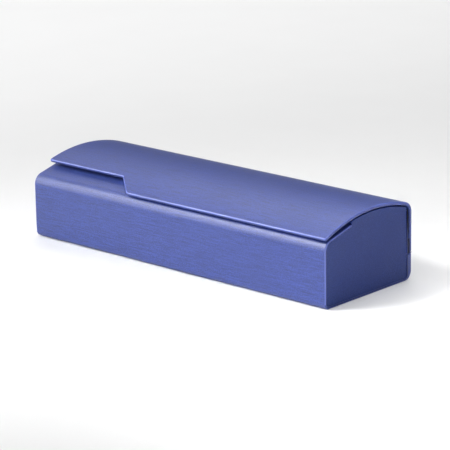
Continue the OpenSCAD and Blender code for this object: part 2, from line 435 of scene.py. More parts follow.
class Nodes:
    """Short ways to build a shader tree."""

    def __init__(self, name):
        self.material = bpy.data.materials.new(name)
        self.material.use_nodes = True
        self.tree = self.material.node_tree
        self.shader = self.tree.nodes["Principled BSDF"]
        self.place = self.add("ShaderNodeTexCoord").outputs["Object"]

    def add(self, kind, **settings):
        """A new node with these settings."""
        node = self.tree.nodes.new(kind)
        for key, value in settings.items():
            setattr(node, key, value)
        return node

    def link(self, source, target):
        """Joins an output to an input."""
        self.tree.links.new(source, target)

    def spread(self, features):
        """Object coordinates, stretched to so many features a metre along X, Y and Z."""
        mapping = self.add("ShaderNodeMapping")
        mapping.inputs["Scale"].default_value = features
        self.link(self.place, mapping.inputs["Vector"])
        return mapping.outputs["Vector"]

    def noise(self, features, detail=2.0, roughness=0.5, distortion=0.0):
        """Noise with so many features a metre along X, Y and Z."""
        node = self.add("ShaderNodeTexNoise")
        node.inputs["Scale"].default_value = 1.0
        node.inputs["Detail"].default_value = detail
        node.inputs["Roughness"].default_value = roughness
        node.inputs["Distortion"].default_value = distortion
        self.link(self.spread(features), node.inputs["Vector"])
        return node.outputs["Fac"]

    def cells(self, features):
        """Distance from the middle of the nearest of so many cells a metre."""
        node = self.add("ShaderNodeTexVoronoi")
        node.inputs["Scale"].default_value = 1.0
        self.link(self.spread(features), node.inputs["Vector"])
        return node.outputs["Distance"]

    def attribute(self, name):
        """A number that the mesh carries at its vertices."""
        return self.add("ShaderNodeAttribute", attribute_name=name).outputs["Fac"]

    def scaled(self, value, low, high, from_low=0.0, from_high=1.0):
        """Maps from_low..from_high to low..high, and clamps what lies outside."""
        node = self.add("ShaderNodeMapRange")
        for key, number in (("From Min", from_low), ("From Max", from_high),
                            ("To Min", low), ("To Max", high)):
            node.inputs[key].default_value = number
        self.link(value, node.inputs["Value"])
        return node.outputs["Result"]

    def maths(self, operation, a, b):
        """Joins two numbers; either may be a socket."""
        node = self.add("ShaderNodeMath", operation=operation)
        for socket, value in zip(node.inputs, (a, b)):
            if isinstance(value, (int, float)):
                socket.default_value = value
            else:
                self.link(value, socket)
        return node.outputs["Value"]

    def mix(self, share, a, b):
        """Mixes two colours; either may be a socket."""
        node = self.add("ShaderNodeMix", data_type="RGBA")
        sockets = (node.inputs[0], node.inputs[6], node.inputs[7])
        for socket, value in zip(sockets, (share, a, b)):
            if isinstance(value, bpy.types.NodeSocket):
                self.link(value, socket)
            elif isinstance(value, (int, float)):
                socket.default_value = value
            else:
                socket.default_value = (*value, 1)
        return node.outputs[2]

    def bump(self, heights):
        """Stacks (height, distance in metres, strength) bumps."""
        last = None
        for height, distance, strength in heights:
            node = self.add("ShaderNodeBump")
            node.inputs["Distance"].default_value = distance
            node.inputs["Strength"].default_value = strength
            self.link(height, node.inputs["Height"])
            if last is not None:
                self.link(last, node.inputs["Normal"])
            last = node.outputs["Normal"]
        self.link(last, self.shader.inputs["Normal"])

    def finish(self, color, roughness, **constants):
        """Links colour and roughness, sets the constant inputs and gives the material back."""
        self.link(color, self.shader.inputs["Base Color"])
        self.link(roughness, self.shader.inputs["Roughness"])
        for key, value in constants.items():
            self.shader.inputs[key.replace("_", " ")].default_value = value
        return self.material


def shade(color, factor):
    """The same hue, lighter or darker."""
    return tuple(min(1.0, c * factor) for c in color)


LEATHER_BLUE = (0.0238, 0.0460, 0.226)
# Lighter edge colour: partly wear, partly painted highlight on the turned edges.
LEATHER_EDGE_WEAR_AND_HIGHLIGHT = (0.14, 0.185, 0.58)
# Darker copy of the leatherette for the ends: painted shade, since the ends face away from the
# lights.
END_BLUE_PAINTED_SHADE = (0.0150, 0.0310, 0.150)
# Near black painted shade for the shadow in the gaps at the back wall's ends and at the end seams; it
# has little shine.
EDGE_PAINTED_SHADE = (0.003, 0.004, 0.012)
PAINTED_SHADE_SHINE = 0.03
NAVY = (0.018, 0.022, 0.075)


def leatherette(name, color, edge, streak=1.0, gloss=0.43, shine=0.6):
    """Satin polyurethane skin with very fine streaks along the case.

    The edge attribute is 1 on a lighter edge, partly wear and partly painted highlight, and -1 where
    an edge is painted near black as shade for the shadow in a gap.
    Gloss is the roughness, shine the strength of the reflection, and streak the contrast of the
    streaks.
    """
    dark, light = shade(color, 0.58), shade(color, 1.5)
    n = Nodes(name)
    fine = n.noise((150, 3200, 3200), detail=2, roughness=0.6)
    broad = n.noise((90, 1400, 1400), detail=1)
    cloudy = n.noise((28, 40, 40), detail=3)
    grain = n.noise((2400, 3200, 3200), detail=2)
    streaks = n.maths("ADD", n.scaled(fine, -0.55, 0.55), n.scaled(broad, -0.12, 0.12))
    tone = n.maths("ADD", streaks, n.scaled(grain, -0.6, 0.6))
    tone = n.scaled(tone, 0.5 - 0.5 * streak, 0.5 + 0.5 * streak, -0.3, 0.3)
    base = n.mix(tone, dark, light)
    base = n.mix(n.scaled(cloudy, 0.0, 0.45, 0.35, 0.75), base, shade(color, 0.92))
    # Lighter edges: partly wear, partly painted highlight.
    rubbed_and_highlit = n.scaled(n.attribute("wear_and_painted_light"), 0.0, 1.0)
    wear_and_painted_light = n.maths("MULTIPLY", rubbed_and_highlit, n.scaled(cloudy, 0.6, 1.0, 0.3, 0.7))
    base = n.mix(wear_and_painted_light, base, edge)
    # Painted shade: near black with little shine, where an edge lies in the shadow of a gap.
    painted_shade = n.scaled(n.attribute("wear_and_painted_light"), 1.0, 0.0, -1.0, 0.0)
    base = n.mix(painted_shade, base, EDGE_PAINTED_SHADE)
    n.link(n.scaled(painted_shade, shine, PAINTED_SHADE_SHINE), n.shader.inputs["Specular IOR Level"])
    streaked = n.scaled(fine, gloss - 0.06, gloss + 0.06)
    rough = n.maths("ADD", streaked, n.scaled(cloudy, -0.05, 0.05))
    rough = n.maths("SUBTRACT", rough, n.scaled(wear_and_painted_light, 0.0, 0.06))
    n.bump([
        (broad, 0.00003, 0.4 * streak),
        (fine, 0.00004, 0.8 * streak),
        (grain, 0.00003, 0.8),
    ])
    return n.finish(base, rough, Sheen_Weight=0.06, Sheen_Roughness=0.4)


def pile_cloth(name, color):
    """Short soft pile, brushed one way."""
    n = Nodes(name)
    tufts = n.cells((1500, 1500, 1500))
    brushed = n.noise((350, 900, 900), detail=3, roughness=0.6)
    cloudy = n.noise((60, 60, 60), detail=3)
    base = n.mix(n.scaled(tufts, 0.0, 1.0, 0.0, 0.9), shade(color, 0.75), shade(color, 1.35))
    base = n.mix(n.scaled(brushed, 0.0, 0.5, 0.35, 0.7), base, shade(color, 1.6))
    base = n.mix(n.scaled(cloudy, 0.0, 0.4, 0.4, 0.7), base, shade(color, 0.7))
    rough = n.scaled(brushed, 0.86, 0.98)
    n.bump([(brushed, 0.0002, 0.5), (tufts, 0.00015, 0.6)])
    return n.finish(base, rough, Specular_IOR_Level=0.2, Sheen_Weight=0.5, Sheen_Roughness=0.35)


def woven_tape(name, color):
    """Flat woven tape, with its threads along and across the hinge."""
    n = Nodes(name)
    waves = []
    for direction in ("X", "Z"):
        wave = n.add("ShaderNodeTexWave", wave_type="BANDS", bands_direction=direction)
        wave.inputs["Scale"].default_value = 420.0
        wave.inputs["Distortion"].default_value = 0.6
        wave.inputs["Detail"].default_value = 1.0
        n.link(n.place, wave.inputs["Vector"])
        waves.append(wave.outputs["Fac"])
    weave = n.maths("MULTIPLY", waves[0], waves[1])
    cloudy = n.noise((80, 80, 80), detail=2)
    base = n.mix(weave, shade(color, 0.7), shade(color, 1.5))
    base = n.mix(n.scaled(cloudy, 0.0, 0.35), base, shade(color, 0.8))
    n.bump([(weave, 0.00008, 0.6)])
    return n.finish(base, n.scaled(weave, 0.9, 0.72), Specular_IOR_Level=0.3, Sheen_Weight=0.2)


def rolled_steel(name):
    """Bright sheet steel with rolling lines and faint stains."""
    n = Nodes(name)
    lines = n.noise((60, 4200, 4200), detail=3, roughness=0.65)
    stains = n.noise((50, 70, 70), detail=4)
    base = n.mix(lines, (0.48, 0.49, 0.51), (0.66, 0.67, 0.69))
    base = n.mix(n.scaled(stains, 0.0, 0.5, 0.5, 0.8), base, (0.36, 0.35, 0.34))
    rough = n.maths("ADD", n.scaled(lines, 0.22, 0.36), n.scaled(stains, 0.0, 0.12))
    n.bump([(lines, 0.00001, 0.5)])
    return n.finish(base, rough, Metallic=1.0)


def nickel(name):
    """Nickel plate with fine scuffs."""
    n = Nodes(name)
    scuffs = n.noise((900, 900, 900), detail=4, roughness=0.7)
    cloudy = n.noise((200, 200, 200), detail=2)
    base = n.mix(cloudy, (0.60, 0.58, 0.54), (0.74, 0.72, 0.69))
    n.bump([(scuffs, 0.00001, 0.3)])
    return n.finish(base, n.scaled(scuffs, 0.12, 0.32), Metallic=1.0)


def greyboard(name):
    """Grey board of pressed fibres with dark flecks."""
    n = Nodes(name)
    fibres = n.noise((700, 2400, 2400), detail=4, roughness=0.7, distortion=0.8)
    flecks = n.cells((900, 900, 900))
    base = n.mix(fibres, (0.24, 0.21, 0.17), (0.42, 0.38, 0.32))
    base = n.mix(n.scaled(flecks, 0.5, 0.0, 0.0, 0.22), base, (0.16, 0.14, 0.12))
    n.bump([(fibres, 0.00008, 0.6)])
    return n.finish(base, n.scaled(fibres, 0.8, 0.96), Specular_IOR_Level=0.25)


def moulded_panel(name):
    """Dark moulded plastic with a spark-eroded grain."""
    n = Nodes(name)
    spark = n.noise((2600, 2600, 2600), detail=2)
    flow = n.noise((90, 30, 60), detail=2)
    base = n.mix(flow, (0.020, 0.022, 0.034), (0.032, 0.035, 0.052))
    rough = n.maths("ADD", n.scaled(spark, 0.42, 0.62), n.scaled(flow, -0.04, 0.04))
    n.bump([(spark, 0.00003, 0.5)])
    return n.finish(base, rough)


def foam(name):
    """White foam with open pores."""
    n = Nodes(name)
    pores = n.cells((1600, 1600, 1600))
    cloudy = n.noise((120, 120, 120), detail=3)
    base = n.mix(n.scaled(pores, 0.0, 1.0, 0.1, 0.6), (0.42, 0.42, 0.40), (0.74, 0.74, 0.71))
    base = n.mix(n.scaled(cloudy, 0.0, 0.4), base, (0.68, 0.66, 0.58))
    n.bump([(pores, 0.00025, 0.8)])
    return n.finish(base, n.scaled(pores, 0.98, 0.86), Specular_IOR_Level=0.2)


LEATHER = leatherette("leatherette_blue", LEATHER_BLUE, LEATHER_EDGE_WEAR_AND_HIGHLIGHT)
# Darker, duller copy of the leatherette for the ends: painted shade, as the ends face away from the
# lights.
END_LEATHER_PAINTED_SHADE = leatherette("leatherette_end_painted_shade", END_BLUE_PAINTED_SHADE, shade(END_BLUE_PAINTED_SHADE, 1.5),
                         streak=0.8, gloss=0.5, shine=0.22)
PILE = pile_cloth("pile_navy", NAVY)
TAPE = woven_tape("tape_navy", NAVY)
FOAM = foam("foam_white")


def piece_of(piece, material, slot, body, *nodes):
    """Gives a piece its material and its body, and hides the nodes that it stands for. The slot is
    not used.
    """
    piece.data.materials.append(material)
    if body:
        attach(piece, body)
    if nodes:
        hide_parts(*nodes)


# ---- body ----

XS = spaced(-END_X, END_X, X_STEP)
FACE_YS = spaced(FRONT_Y, BACK_Y, FACE_STEP)
FACE_ZS = spaced(0, FACE_TOP_Z, FACE_STEP)
UP = math.pi / 2


def body_track():
    """From the mouth of the tray down the lip, round the front and the bottom, up to the hinge."""
    shoulder_y = FRONT_Y + SHOULDER_R
    shoulder_c = (shoulder_y, lip_z(shoulder_y, SHOULDER_R))
    front_c = (FRONT_Y + FRONT_BOTTOM_R, FRONT_BOTTOM_R)
    back_c = (LOW_BACK_Y - BACK_BOTTOM_R, BACK_BOTTOM_R)
    fold_c = (WALL_IN_Y + CORE_T - FOLD_R, COVER_T + FOLD_R)

    def parts(depth, rear_c, rear_r, rear_y):
        """The profile at this depth, with its own rear corner and rear face."""
        shoulder = Arc(shoulder_c, SHOULDER_R - depth, UP + LIP_SLOPE, 2 * UP)
        front = Arc(front_c, FRONT_BOTTOM_R - depth, 2 * UP, 3 * UP)
        rear = Arc(rear_c, rear_r, 3 * UP, 4 * UP)
        joins = [a.at(t)[0] for a in (shoulder, front, rear) for t in (0, 1)]
        return [
            Line((MOUTH_Y, lip_z(MOUTH_Y, depth)), joins[0]), shoulder,
            Line(joins[1], joins[2]), front,
            Line(joins[3], joins[4]), rear,
            Line(joins[5], (rear_y, HINGE_Z)),
        ]

    hidden = parts(WALL_T, fold_c, FOLD_R - CORE_T, WALL_IN_Y)
    return Track(parts(0, back_c, BACK_BOTTOM_R, LOW_BACK_Y), WALL_T, hidden)


def make_body_wrap():
    """Skin over the lip, front, bottom and lower back, turned in at both ends."""
    track = body_track()
    front_s = track.starts[3]
    front_arc = track.parts[3].length
    border = 0.0016
    edge_r = 0.00042
    turn = 0.0001
    board_edge = 0.001
    rounder_by = 0.00022
    rounder_from = 0.3
    bulge_share = 1.6
    deep_share = 0.6
    # Share of the lighter edge, wear with painted highlight, away from the lip and the front.
    little_wear_and_highlight = 0.15
    # Painted shade on the turned-in end faces, for the shadow in the groove at the end's skin.
    seam_painted_shade = -0.85

    def sink(x, s):
        """The bottom edge is rounder towards the left end, and the skin is never quite flat."""
        rounder = rounder_by * smooth((END_X * rounder_from - x) / END_X)
        bulge = max(0.0, 1 - abs(s - front_s - front_arc / 2) / (bulge_share * front_arc))
        return rounder * smooth(bulge) + SINK + ripple(x, s, size=0.00005, length=0.022, seed=3.1)

    def rim(x, s):
        """Depth that the turned-in edge reaches; on the board it stops short of the core."""
        board_top = s > track.length - board_edge and abs(x) < END_X - board_edge
        return track.at(s)[2] - (CORE_T + SLOT if board_top else 0)

    def rubbed_and_highlit(_, s):
        """The edge is lighter on the lip and the front, partly wear and partly painted highlight."""
        return 1.0 if s < front_s else little_wear_and_highlight

    def painted_seam_shade(x, _):
        """Painted shade: the edge is near black where it meets the end's own skin, for the shadow in
        the groove there.
        """
        return seam_painted_shade if abs(x) > END_X - turn else 0.0

    # The rounding carries the lighter edge: wear and painted highlight.
    layers = [(border, 0.0, 0.0)] + rounding(edge_r, share=rubbed_and_highlit)
    layers += [(0.0, lambda x, s: deep_share * rim(x, s), 0.0)]
    layers += [(0.0, lambda x, s: rim(x, s) - turn, painted_seam_shade)]
    layers += [(turn, rim, painted_seam_shade), (SKIN_T, rim, painted_seam_shade), (SKIN_T, SKIN_T, 0.0)]
    corners = oblong(-END_X, END_X, 0, track.length, SKIN_CORNER_R)
    stations = track.stations(PROFILE_STEP)
    wrap = sheet_object("body_wrap", on_track(track, sink), corners, layers, XS, stations)
    piece_of(wrap, LEATHER, "leatherette", "body", "body_cover")


def make_lip_hem():
    """The turned-in strip under the edge of the lip."""
    start = (MOUTH_Y - HEM_W, lip_z(MOUTH_Y - HEM_W, LID_T))
    track = Track([Line(start, (MOUTH_Y, lip_z(MOUTH_Y, LID_T)))], COVER_T)
    border = 0.001
    under_r = 0.00004
    # The rounding carries the lighter edge: wear and painted highlight.
    layers = [(border, 0.0, 0.0)] + rounding(SOFT_R) + under_rounding(under_r, SKIN_T)
    reach = PANEL_IN_X - PANEL_PLAY
    corners = oblong(-reach, reach, 0, track.length, HEM_CORNER_R)
    stations = track.stations(HEM_STEP)
    hem = sheet_object("lip_hem", on_track(track), corners, layers, XS, stations)
    piece_of(hem, LEATHER, "leatherette", "body")


def make_back_wrap():
    """Up the back of the rear wall, over its rim and down inside as a hem."""
    rim_r = (WALL_BACK_Y - WALL_IN_Y + COVER_T) / 2
    rim_c = (WALL_BACK_Y - rim_r, RIM_Z - rim_r)
    inner_y = WALL_IN_Y - COVER_T
    track = Track([
        Line((WALL_BACK_Y, HINGE_Z), (WALL_BACK_Y, rim_c[1])),
        Arc(rim_c, rim_r, 0, 2 * UP),
        Line((inner_y, rim_c[1]), (inner_y, RIM_Z - HEM_W)),
    ], COVER_T)
    rim_s = track.starts[1]
    over_share = 0.62
    over_s = rim_s + track.parts[1].length * over_share
    end_s = rim_s + 0.0001
    tape_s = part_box("hinge_lining")[1].z - HINGE_Z
    border = 0.0012
    turn = 0.00005
    turned_w = 0.0007
    # Width of the painted shade at the cut ends.
    painted_shade_w = 0.0004
    fold_w = 0.004
    fold_t = 0.00042
    fade = 0.003
    tape_fade = 0.0012
    outer_w = 0.0002
    # The painted shade on the inner part of the edge grows from here over this length, away from the
    # hinge.
    painted_shade_from = 0.003
    painted_shade_fade = 0.012

    def sink(x, s):
        """The folded corners are thick, so the gap to the skirt is tighter at the ends."""
        thick = smooth((abs(x) - END_X + fold_w) / fade) * smooth((s - tape_s) / tape_fade)
        thick *= smooth((rim_s - s) / fade)
        return SLOT - fold_t * thick + ripple(x, s, size=0.00004, length=0.02, seed=7.7)

    def rim(x, s):
        """Depth that the edge reaches: through the wall at the ends, below the rim."""
        return WALL_T if abs(x) > END_X - turned_w and s < end_s else SKIN_T

    def painted_shade(x, _):
        """The cut ends are painted near black: painted shade for the shadow in the gap to the skirt.
        """
        return -1.0 if abs(x) > END_X - painted_shade_w else 0.0

    def painted_shade_within(x, s):
        """The painted shade on the inner part of the edge fades out towards the hinge."""
        return painted_shade(x, s) * smooth((s - painted_shade_from) / painted_shade_fade)

    layers = [(border, 0.0, 0.0)]
    # The rounding carries painted shade at the cut ends, for the shadow in the gap to the skirt.
    layers += [(i, d, painted_shade if i < outer_w else painted_shade_within) for i, d, _ in rounding(SOFT_R)]
    layers += [(0.0, lambda x, s: rim(x, s) - turn, painted_shade_within), (turn, rim, painted_shade_within)]
    layers += [(SKIN_T, rim, 0.0), (SKIN_T, SKIN_T, 0.0)]
    reach = PANEL_IN_X - PANEL_PLAY
    corners = [
        (-END_X, 0, SKIN_CORNER_R), (END_X, 0, SKIN_CORNER_R),
        (END_X, over_s, HEM_CORNER_R), (reach, over_s, 0),
        (reach, track.length, HEM_CORNER_R), (-reach, track.length, HEM_CORNER_R),
        (-reach, over_s, 0), (-END_X, over_s, HEM_CORNER_R),
    ]
    stations = track.stations(PROFILE_STEP)
    wrap = sheet_object("back_wall_wrap", on_track(track, sink), corners, layers, XS, stations)
    piece_of(wrap, LEATHER, "leatherette", "body", "back_cover")


def end_corners(depth, crest_drop, floor_z, step_y, bottom_r, rear_y):
    """Outline of an end in (Y, Z): depth in from the wrap, its crest crest_drop below the lid."""
    front_y = FRONT_Y + depth
    big_r = LID_R - crest_drop
    small_r = LID_CORNER_R - crest_drop
    bends = 4
    spans = 22
    meet_a = CORNER_A
    if small_r > 0:
        meet_a = math.acos(max(-1.0, min(1.0, (rear_y - CORNER_C.x) / small_r)))
    crest = []
    if meet_a < CORNER_A:
        turn = CORNER_A - meet_a
        crest = [(CORNER_C, small_r, meet_a + turn * i / bends) for i in range(bends + 1)]
        curve_from = CORNER_A
    else:
        curve_from = math.acos((rear_y - LID_C.x) / big_r)
    turn = math.acos((step_y - LID_C.x) / big_r) - curve_from
    crest += [(LID_C, big_r, curve_from + turn * i / spans) for i in range(1, spans + 1)]
    points = [(front_y, floor_z, bottom_r), (rear_y, floor_z, bottom_r)]
    points += [(c.x + r * math.cos(a), c.y + r * math.sin(a), 0) for c, r, a in crest]
    points += [(step_y, lip_z(step_y, depth), 0)]
    points += [(front_y, lip_z(front_y, depth), SHOULDER_R - depth)]
    return points


def make_end_wrap(side, name, node):
    """Skin on the outside of an end panel, wrapped over its crest and its front step."""
    corners = end_corners(depth=WALL_T, crest_drop=LID_T + CREST_GAP, floor_z=WALL_T,
                          step_y=MOUTH_Y, bottom_r=FRONT_BOTTOM_R - WALL_T, rear_y=WALL_IN_Y)
    inward = END_COVER_X - PANEL_IN_X
    border = 0.0012
    edge_r = 0.0002
    turn = 0.00004
    step_play = 0.0002
    slope_play = 0.0001

    def place(y, z, depth):
        """A point of the end's skin, with slow waves in its visible face."""
        if depth < COVER_T:
            dent = END_SINK + ripple(y, z, size=0.00005, length=0.014, seed=5.5 + side)
            depth += dent * (1 - depth / COVER_T)
        return Vector((side * (END_COVER_X - depth), y, z))

    def turned(y, z):
        """Depth that the edge reaches: over the whole crest, but not at the rear."""
        over_crest = y > MOUTH_Y - step_play and z > lip_z(MOUTH_Y, WALL_T) - slope_play
        at_rear = y > WALL_IN_Y - SLOT
        return inward if over_crest and not at_rear else SKIN_T

    # The rounding carries the lighter edge: wear and painted highlight.
    layers = [(border, 0.0, 0.0)] + rounding(edge_r, 4)
    layers += [(0.0, lambda y, z: turned(y, z) - turn, 0.0), (turn, turned, 0.0)]
    layers += [(SKIN_T, turned, 0.0), (SKIN_T, SKIN_T, 0.0)]
    wrap = sheet_object(name, place, corners, layers, FACE_YS, FACE_ZS)
    # The end's skin takes the darker copy of the leatherette: painted shade.
    piece_of(wrap, END_LEATHER_PAINTED_SHADE, "end_leatherette", "body", node)


def make_tray_lining():
    """One folded sheet of pile: down the back wall, over the pad, up the front, under the lip."""
    rear_y = WALL_IN_Y - LINING_T
    front_y = FRONT_Y + LID_T
    floor_z = FLOOR_Z + LINING_T
    r = LINING_CORNER_R - LINING_T
    hem_play = 0.0001
    side_play = 0.00003
    crown_rise = 0.00035
    shoulder_y = FRONT_Y + SHOULDER_R
    shoulder_c = (shoulder_y, lip_z(shoulder_y, SHOULDER_R))
    shoulder = Arc(shoulder_c, SHOULDER_R - LID_T, 2 * UP, UP + LIP_SLOPE)
    end_y = MOUTH_Y - HEM_W - hem_play
    track = Track([
        Line((rear_y, RIM_Z - HEM_W - hem_play), (rear_y, floor_z + r)),
        Arc((rear_y - r, floor_z + r), r, 4 * UP, 3 * UP),
        Line((rear_y - r, floor_z), (front_y + r, floor_z)),
        Arc((front_y + r, floor_z + r), r, 3 * UP, 2 * UP),
        Line((front_y, floor_z + r), (front_y, shoulder_c[1])),
        shoulder,
        Line(shoulder.at(1)[0], (end_y, lip_z(end_y, LID_T))),
    ], LINING_T)
    floor_s = track.starts[2]
    floor_l = track.parts[2].length

    def sink(x, s):
        """The cloth is a little crowned over the pad."""
        across = min(1.0, max(0.0, (s - floor_s) / floor_l))
        along = max(0.0, 1 - abs(x / PANEL_IN_X) ** 6)
        crown = crown_rise * math.sin(math.pi * across) * along
        return SINK - crown + ripple(x, s, size=0.00006, length=0.012, seed=9.0)

    layers = cloth_layers(LINING_T)
    reach = PANEL_IN_X - side_play
    corners = oblong(-reach, reach, 0, track.length, CLOTH_CORNER_R)
    stations = track.stations(PROFILE_STEP)
    lining = sheet_object("tray_lining_cloth", on_track(track, sink), corners, layers, XS, stations)
    piece_of(lining, PILE, "lining", "body", "tray_lining")


def make_end_lining(side, name, node):
    """Pile on the inside of an end panel, with a margin below its crest."""
    margin = 0.001
    play = 0.00004
    corners = end_corners(depth=LID_T + play, crest_drop=LID_T + CREST_GAP + COVER_T + margin,
                          floor_z=FLOOR_Z + LINING_T + play, step_y=MOUTH_Y + COVER_T,
                          bottom_r=LINING_CORNER_R - LINING_T, rear_y=WALL_IN_Y - LINING_T - play)
    face_x = PANEL_IN_X - LINING_T

    def place(y, z, depth):
        """A point of the cloth, with slow waves in its visible face."""
        if depth < LINING_T:
            dent = END_SINK + ripple(y, z, size=0.00005, length=0.011, seed=12.5 + side)
            depth += dent * (1 - depth / LINING_T)
        return Vector((side * (face_x + depth), y, z))

    layers = cloth_layers(LINING_T)
    lining = sheet_object(name, place, corners, layers, FACE_YS, FACE_ZS)
    piece_of(lining, PILE, "lining", "body", node)


def make_pad():
    """Foam sheet on the bottom, with soft edges that pull in a little between its corners."""
    low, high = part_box("bottom_pad")
    thickness = high.z - low.z
    border = 0.0016
    edge_r = 0.0006
    under_r = 0.0004
    corner_r = 0.0015
    pull = 0.0003
    edge_fall = 0.00012

    def place(x, y, depth):
        """A point of the foam, lower near the edges of its top."""
        across = (y - low.y) / (high.y - low.y)
        along = (x - low.x) / (high.x - low.x)
        pull_y = pull * math.sin(math.pi * min(1, max(0, along))) * (1 if across < 0.5 else -1)
        pull_y *= abs(2 * across - 1) ** 4
        pull_x = pull * math.sin(math.pi * min(1, max(0, across))) * (1 if along < 0.5 else -1)
        pull_x *= abs(2 * along - 1) ** 12
        edge = max(abs(2 * across - 1) ** 8, abs(2 * along - 1) ** 24)
        top = edge_fall * edge + END_SINK + ripple(x, y, size=0.00004, length=0.01, seed=21.0)
        depth += top * max(0.0, 1 - depth / thickness)
        return Vector((x + pull_x, y + pull_y, high.z - depth))

    layers = [(border, 0.0, 0.0)] + rounding(edge_r) + under_rounding(under_r, thickness)
    corners = oblong(low.x, high.x, low.y, high.y, corner_r)
    ys = spaced(low.y, high.y, PROFILE_STEP)
    pad = sheet_object("foam_pad", place, corners, layers, XS, ys)
    piece_of(pad, FOAM, "foam", "body", "bottom_pad")


# ---- lid ----

def lid_track(depth):
    """From the foot of the skirt up, round the back corner and forward to the front edge."""
    front_a = math.acos((EDGE_Y - LID_C.x) / LID_R)
    curve = Arc(LID_C, LID_R, CORNER_A, front_a)
    corner = Arc(CORNER_C, LID_CORNER_R, 0, CORNER_A)
    foot = Line((BACK_Y, SKIRT_Z), corner.at(0)[0])
    return Track([foot, corner, curve], depth)


def lid_corners(track):
    """Outline of the lid in (X, length along its track), with the notch at the left."""
    foot_r = 0.0007
    front_r = 0.0009
    inner_r = 0.0003
    front_s = track.length
    notch_a = math.acos((EDGE_Y + NOTCH_DEPTH - LID_C.x) / LID_R)
    notch_s = track.starts[2] + LID_R * (notch_a - CORNER_A)
    notch_x = -END_X + NOTCH_LENGTH
    tip_x = notch_x + NOTCH_DEPTH / math.tan(NOTCH_ANGLE)
    return [
        (-END_X, 0, foot_r), (END_X, 0, foot_r), (END_X, front_s, front_r),
        (tip_x, front_s, NOTCH_R), (notch_x, notch_s, inner_r), (-END_X, notch_s, front_r),
    ]


def make_lid_wrap():
    """Skin over the lid and its skirt, turned round every edge into a hem."""
    track = lid_track(LID_T)
    curve_s = track.starts[2]
    border = 0.0018
    edge_r = 0.0006
    under_r = 0.00045
    hem_r = 0.0002
    hem_w = HEM_W - SLOT
    flat_fade = 0.008

    def sink(x, s):
        """The skin has slow waves on the curve, and none on the skirt."""
        waves = ripple(x, s, size=0.00006, length=0.026, seed=31.0)
        return SINK + waves * smooth((s - curve_s + flat_fade / 2) / flat_fade)

    # The rounding carries the lighter rim: wear and painted highlight.
    layers = [(border, 0.0, 0.0)] + rounding(edge_r, 6) + under_rounding(under_r, LID_T, 4)
    layers += [(HEM_W - hem_r, LID_T, 0.0), (hem_w, LID_T - hem_r, 0.0)]
    layers += [(hem_w, WALL_T + SLOT, 0.0), (SKIN_T, WALL_T + SLOT, 0.0), (SKIN_T, SKIN_T, 0.0)]
    stations = track.stations(FACE_STEP)
    wrap = sheet_object("lid_wrap", on_track(track, sink), lid_corners(track), layers, XS, stations)
    piece_of(wrap, LEATHER, "leatherette", "lid", "lid_cover")


def find_magnets(track):
    """X, length along the lid's track, and radius of each magnet."""
    magnets = []
    for node in ("lid_magnet_left", "lid_magnet_right"):
        low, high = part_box(node)
        mid = (low + high) / 2
        angle = math.atan2(mid.z - LID_C.y, mid.y - LID_C.x)
        mid_s = track.starts[2] + LID_R * (angle - CORNER_A)
        magnets.append((mid.x, mid_s, (high.x - low.x) / 2))
    return magnets


def make_lid_lining():
    """Pile inside the lid, raised over the two magnets."""
    track = lid_track(LID_T)
    magnets = find_magnets(track)
    rise = 0.00078
    slope_w = 0.0014
    pocket_play = 0.0001
    around_x = 0.006
    around_s = 0.005
    x_parts = 8
    s_parts = 5
    free = HEM_W + SLOT

    def pocket(x, s):
        """The far side of the sheet lies on the magnet, so the whole sheet is lifted here."""
        lift = 0.0
        for mid_x, mid_s, radius in magnets:
            away = math.hypot(x - mid_x, (s - mid_s) * (LID_R - LID_T) / LID_R)
            lift = max(lift, rise * smooth(1 - (away - radius - pocket_play) / slope_w))
        return lift

    def place(x, s, depth):
        """Depth counts from the face that shows, which is the inner one."""
        point, inward, _ = track.at(s)
        fold = SINK + ripple(x, s, size=0.00004, length=0.012, seed=41.0)
        fold *= 1 - depth / LINING_T
        found = point + inward * (LID_T - depth - fold + pocket(x, s))
        return Vector((x, found.x, found.y))

    layers = [(free + i, d, w) for i, d, w in cloth_layers(LINING_T - SLOT)]
    fine_x = []
    for x in XS:
        near = any(abs(x - mid_x) < radius + around_x for mid_x, _, radius in magnets)
        fine_x += [x + X_STEP / x_parts * i for i in range(x_parts)] if near else [x]
    fine_s = []
    stations = track.stations(FACE_STEP)
    for a, b in zip(stations, stations[1:]):
        near = any(abs(a - mid_s) < radius + around_s for _, mid_s, radius in magnets)
        fine_s += [a + (b - a) * i / s_parts for i in range(s_parts)] if near else [a]
    fine_s.append(stations[-1])
    lining = sheet_object("lid_lining_cloth", place, lid_corners(track), layers, fine_x, fine_s)
    piece_of(lining, PILE, "lining", "lid", "lid_lining")


# ---- hinge ----

def make_hinge_fold():
    """The skin's own fold line, between the lower back and the foot of the skirt."""
    low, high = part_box("hinge_cover")
    rows = 14
    spans = 40
    groove = 0.00012
    heights = [low.z + (high.z - low.z) * (k / rows) for k in range(rows + 1)]
    outer = [(high.y - groove * math.sin(math.pi * (k / rows)), z) for k, z in enumerate(heights)]
    inner = [(low.y, z) for z in reversed(heights)]
    fold = strip_object("hinge_fold", low.x, high.x, spans, outer + inner)
    piece_of(fold, LEATHER, "leatherette", None, "hinge_cover")
    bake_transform(fold)


